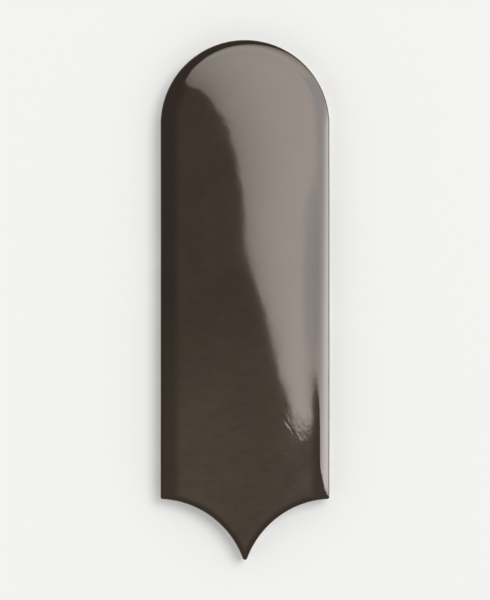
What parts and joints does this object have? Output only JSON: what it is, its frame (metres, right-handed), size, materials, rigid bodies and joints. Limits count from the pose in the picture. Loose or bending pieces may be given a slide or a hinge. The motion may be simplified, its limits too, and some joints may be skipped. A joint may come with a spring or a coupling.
{
  "type": "fish scale tile",
  "caption": "Long glazed ceramic wall tile with a round head, straight sides and a pointed foot between two hollow arcs that fit the heads of the next row.",
  "frame": {"origin": "under the middle of the tile's length and width, in the plane of its back", "axes": "+Z out of the glazed face, +Y towards the round head, -Y towards the pointed foot, X across the width"},
  "size_m": [0.065, 0.2, 0.0083],
  "materials": {
    "glaze": "gloss"
  },
  "bodies": {
    "root": {"tile": "glaze"}
  },
  "joints": []
}
